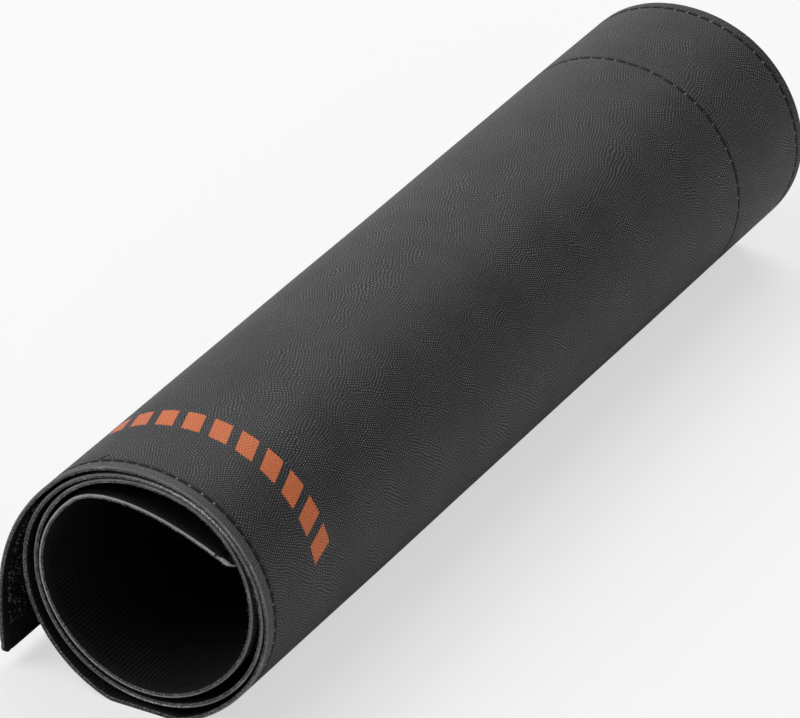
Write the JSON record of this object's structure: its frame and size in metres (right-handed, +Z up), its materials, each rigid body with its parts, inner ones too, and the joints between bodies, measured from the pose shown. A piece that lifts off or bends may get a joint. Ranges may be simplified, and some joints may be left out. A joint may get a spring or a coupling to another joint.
{
  "type": "telescope dew shield",
  "caption": "Flexible felt-lined dew shield for a telescope tube, rolled up and lying on its side, with hook and loop tape along the ends of the sheet.",
  "frame": {"origin": "middle of the roll's footprint on the surface that it lies on, below the middle of its box", "axes": "+Z up; Y along the roll's axis, with the end that shows the turns at -Y; the loose flap hangs down at -X"},
  "size_m": [0.083, 0.305, 0.073],
  "materials": {
    "cover": "satin pebbled leatherette, black",
    "lining": "matt black ribbed felt",
    "tape": "matt black hook and loop tape"
  },
  "bodies": {
    "root": {"cover_sheet": "cover", "felt_lining": "lining", "loop_tape": "tape", "hook_tape": "tape"}
  },
  "joints": []
}
